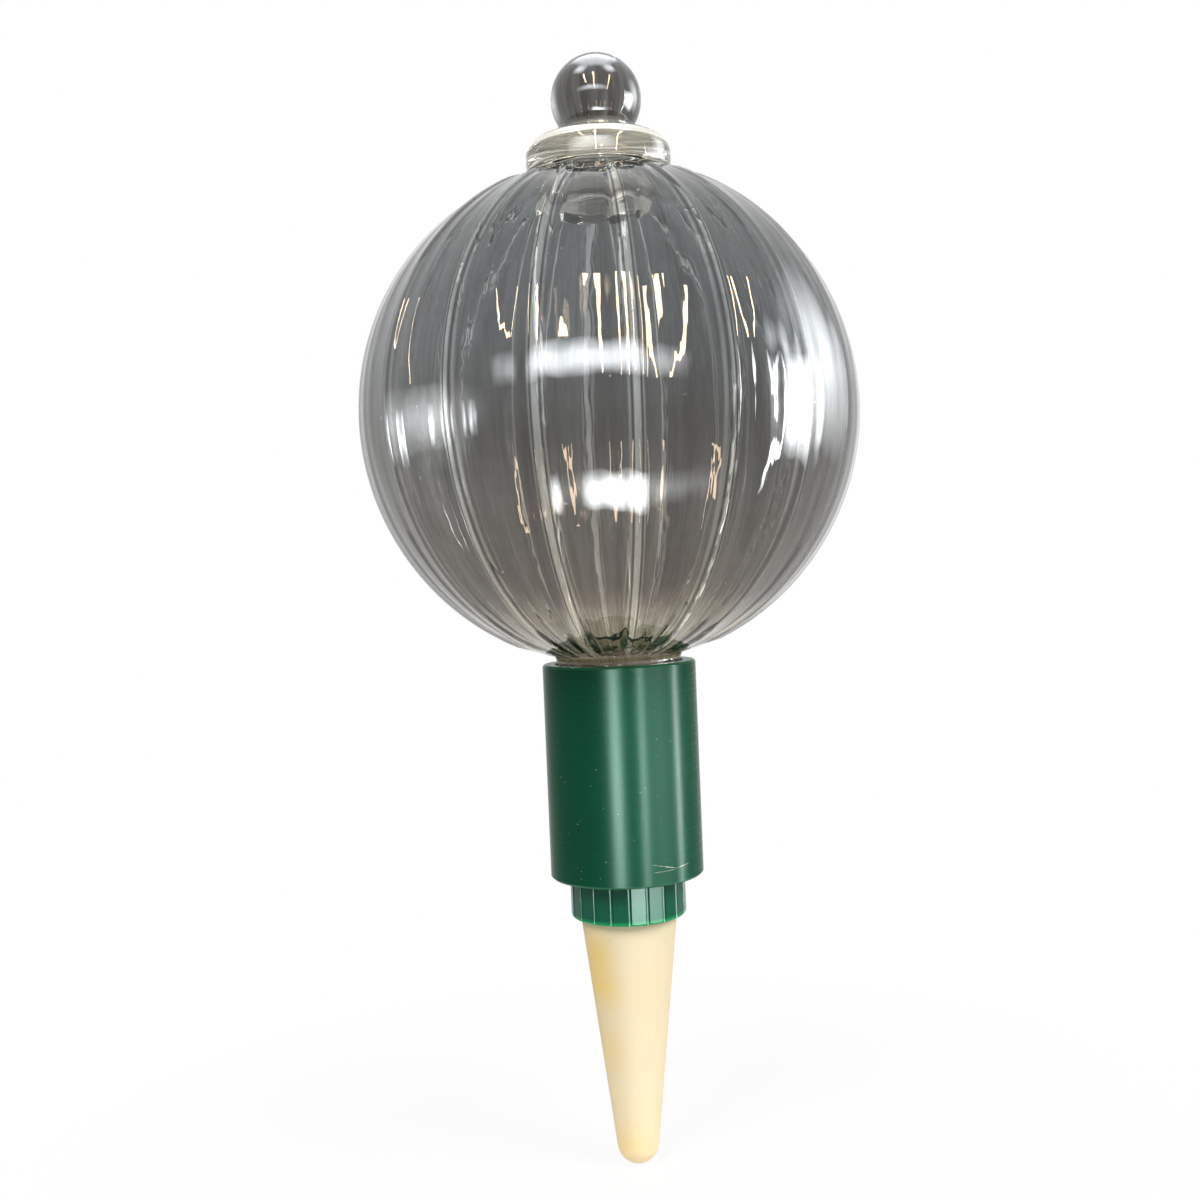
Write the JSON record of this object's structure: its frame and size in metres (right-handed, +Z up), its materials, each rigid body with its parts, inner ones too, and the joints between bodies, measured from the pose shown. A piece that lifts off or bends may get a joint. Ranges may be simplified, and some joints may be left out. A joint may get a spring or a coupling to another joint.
{
  "type": "watering globe",
  "caption": "Ribbed clear glass watering globe with a ball stopper, held by a green turned sleeve that screws onto the fluted head of a porous ceramic cone pushed into soil.",
  "frame": {"origin": "on the axis, in the plane of the fluted collar's underside, where the soil reaches when the cone is pushed fully in", "axes": "+Z up along the axis, from the cone's tip to the stopper's ball; the object is round, so X and Y only set the ribs, and the picture looks along +Y"},
  "size_m": [0.1036, 0.1036, 0.2318],
  "materials": {
    "clear_glass": "clear blown soda-lime glass, fire polished",
    "sleeve_plastic": "turned green plastic, satin, with fine turning lines",
    "head_plastic": "moulded green plastic, slightly translucent",
    "porous_ceramic": "unglazed buff earthenware, smooth and porous",
    "seal_rubber": "soft black rubber"
  },
  "bodies": {
    "cone": {"ceramic_cone": "porous_ceramic", "cone_seal": "seal_rubber", "cone_head": "head_plastic"},
    "gasket": {"head_gasket": "seal_rubber"},
    "sleeve": {"coupling_sleeve": "sleeve_plastic", "neck_washer": "seal_rubber", "neck_seal_lower": "seal_rubber", "neck_seal_upper": "seal_rubber"},
    "globe": {"glass_globe": "clear_glass"},
    "stopper": {"glass_stopper": "clear_glass"}
  },
  "joints": [
    {"name": "sleeve_rise", "type": "slide", "parent": "cone", "child": "gasket", "axis": [0, 0, 1], "range_m": [0, 0.009]},
    {"name": "sleeve_turn", "type": "hinge", "parent": "gasket", "child": "sleeve", "pos_m": [0, 0, 0.02], "axis": [0, 0, 1], "range_deg": [0, 1080]},
    {"name": "globe_lift", "type": "slide", "parent": "sleeve", "child": "globe", "axis": [0, 0, 1], "range_m": [0, 0.03]},
    {"name": "stopper_lift", "type": "slide", "parent": "globe", "child": "stopper", "axis": [0, 0, 1], "range_m": [0, 0.04]}
  ],
  "couplings": [
    {"joint": "sleeve_rise", "follows": "sleeve_turn", "m_per_rad": 0.00047746}
  ]
}
